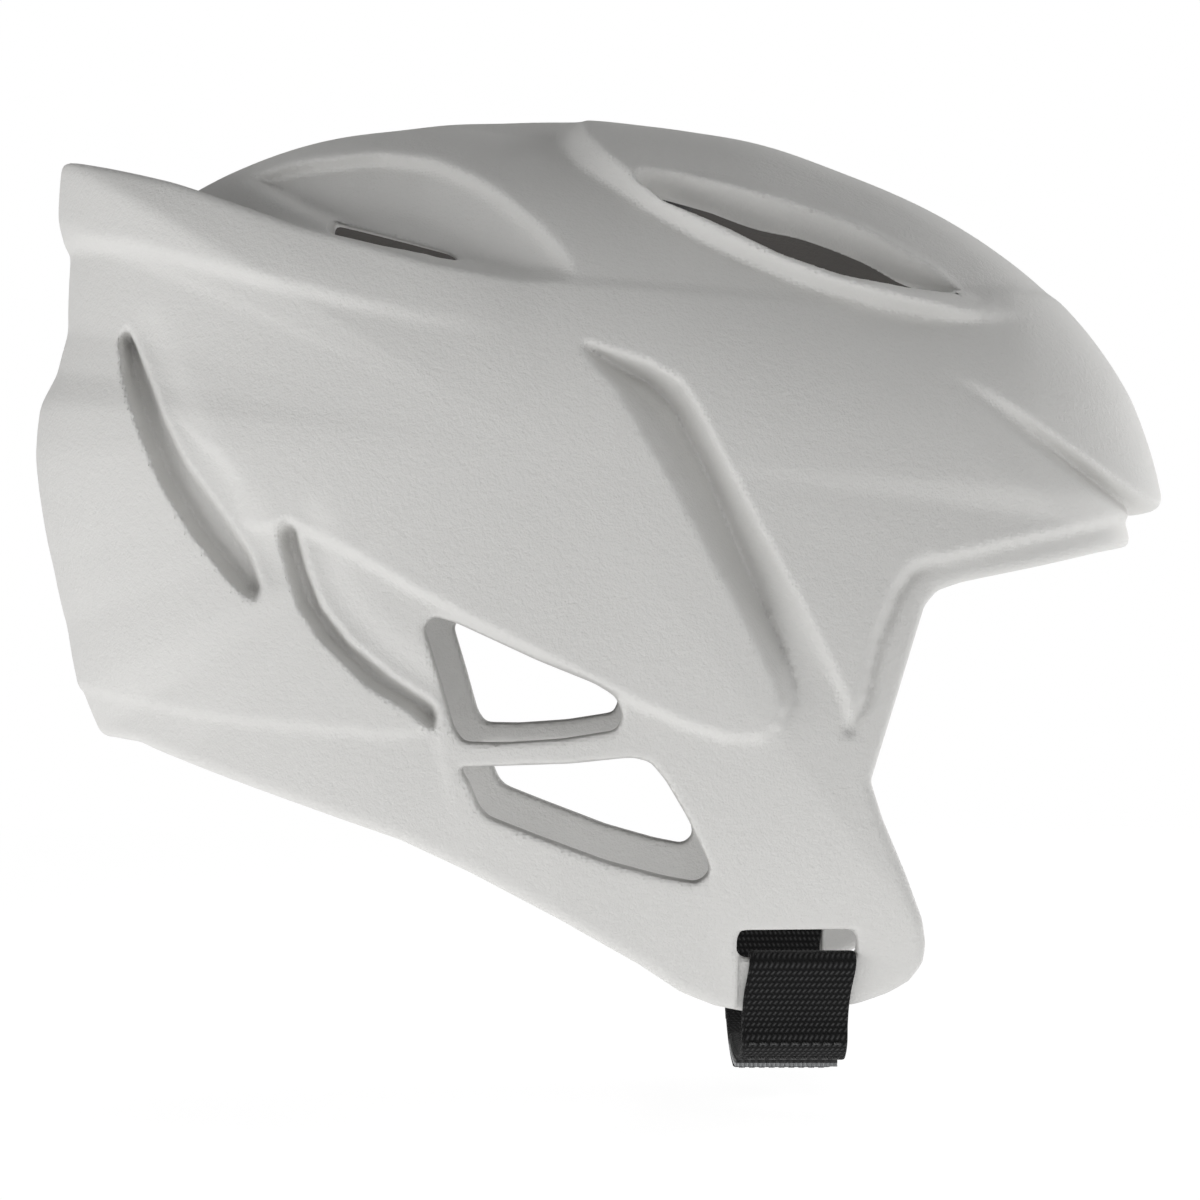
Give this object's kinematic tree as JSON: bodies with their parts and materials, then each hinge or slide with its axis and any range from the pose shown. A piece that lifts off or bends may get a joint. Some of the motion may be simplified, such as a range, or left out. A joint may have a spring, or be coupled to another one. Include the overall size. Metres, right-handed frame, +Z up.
{
  "type": "soft shell football helmet",
  "caption": "Soft foam football helmet with an open face, crown vents, ear openings, a raised rear lip, inner comfort pads and a webbing chin strap that opens under the chin.",
  "frame": {"origin": "middle of the head space, on the middle plane, 86.5 mm below the crown", "axes": "+X to the front of the helmet, +Y to the wearer's left, +Z up"},
  "size_m": [0.2778, 0.206, 0.2375],
  "materials": {
    "shell_foam": "matte, fine sandy skin",
    "pad_fabric": "matte knit",
    "hook_tape": "matte moulded hooks",
    "webbing": "matte ribbed weave",
    "loop_pile": "matte pile",
    "thread": "satin thread"
  },
  "bodies": {
    "shell": {"foam_shell": "shell_foam", "brow_pad": "pad_fabric", "crown_pad": "pad_fabric", "rear_pad": "pad_fabric", "right_side_pad": "pad_fabric", "left_side_pad": "pad_fabric", "right_jaw_pad": "pad_fabric", "left_jaw_pad": "pad_fabric", "brow_hook_patches": "hook_tape", "crown_hook_patches": "hook_tape", "rear_hook_patches": "hook_tape", "right_side_hook_patch": "hook_tape", "left_side_hook_patch": "hook_tape", "right_jaw_hook_patch": "hook_tape", "left_jaw_hook_patch": "hook_tape", "right_strap_loop": "webbing", "left_strap_loop": "webbing"},
    "right_strap": {"right_strap": "webbing", "right_strap_stitching": "thread", "strap_loop_tape": "loop_pile"},
    "left_strap": {"left_strap": "webbing", "left_strap_stitching": "thread", "strap_hook_tab": "hook_tape", "hook_tab_stitching": "thread"}
  },
  "joints": [
    {"name": "right_strap_swing", "type": "hinge", "parent": "shell", "child": "right_strap", "pos_m": [0.056, -0.06423, -0.134], "axis": [1, 0, 0], "range_deg": [0, 30]},
    {"name": "left_strap_swing", "type": "hinge", "parent": "shell", "child": "left_strap", "pos_m": [0.056, 0.06423, -0.134], "axis": [1, 0, 0], "range_deg": [0, 80]}
  ]
}
